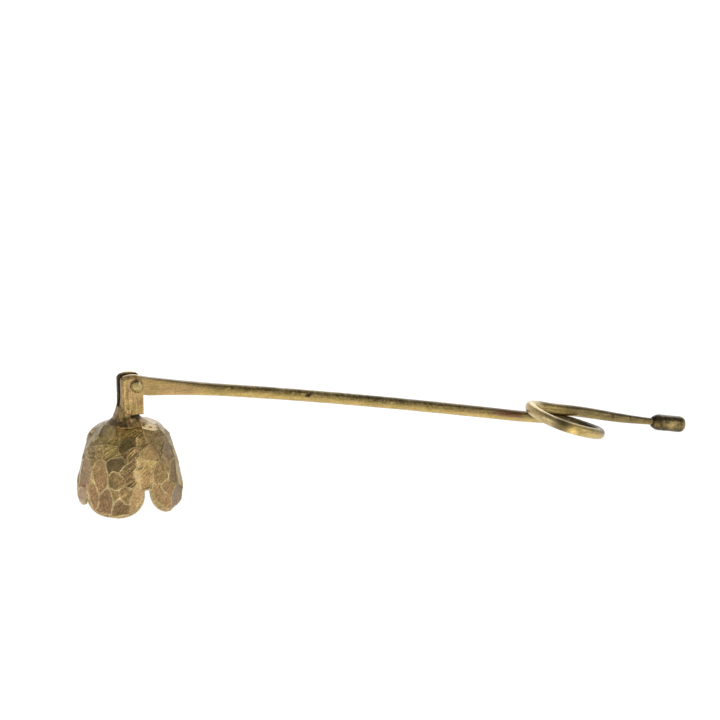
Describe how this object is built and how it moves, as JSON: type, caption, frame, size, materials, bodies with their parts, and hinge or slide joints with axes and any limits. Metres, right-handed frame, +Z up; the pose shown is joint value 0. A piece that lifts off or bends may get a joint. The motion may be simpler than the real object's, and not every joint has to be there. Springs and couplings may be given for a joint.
{
  "type": "hinged candle snuffer",
  "caption": "Long-handled candle snuffer: hammered brass bell with lobed rim, hinged in a fork on a flattened bar that ends in a finger loop and a small barrel knob.",
  "frame": {"origin": "centre of the bounding box in plan, at the level of the surface that it stands on", "axes": "+X from the bell towards the knob, +Y away from the side that the finger loop is on, +Z up"},
  "size_m": [0.2524, 0.0488, 0.0505],
  "materials": {
    "hammered_brass": "hand-hammered, antiqued, bright on the ridges and rim",
    "fork_brass": "filed and dulled",
    "braze_metal": "rough, dark",
    "rivet_brass": "peened, rubbed bright",
    "bar_brass": "drawn and rubbed, antiqued",
    "knob_brass": "antiqued, dark marks at the shoulder"
  },
  "bodies": {
    "bell": {"bell_cup": "hammered_brass", "clevis_fork": "fork_brass", "braze_bead": "braze_metal", "pivot_rivet": "rivet_brass"},
    "handle": {"handle_bar": "bar_brass", "barrel_knob": "knob_brass"}
  },
  "joints": [
    {"name": "bell_hinge", "type": "hinge", "parent": "bell", "child": "handle", "pos_m": [-0.10346, 0.00433, 0.046], "axis": [0, -1, 0], "range_deg": [-35, 220]}
  ]
}
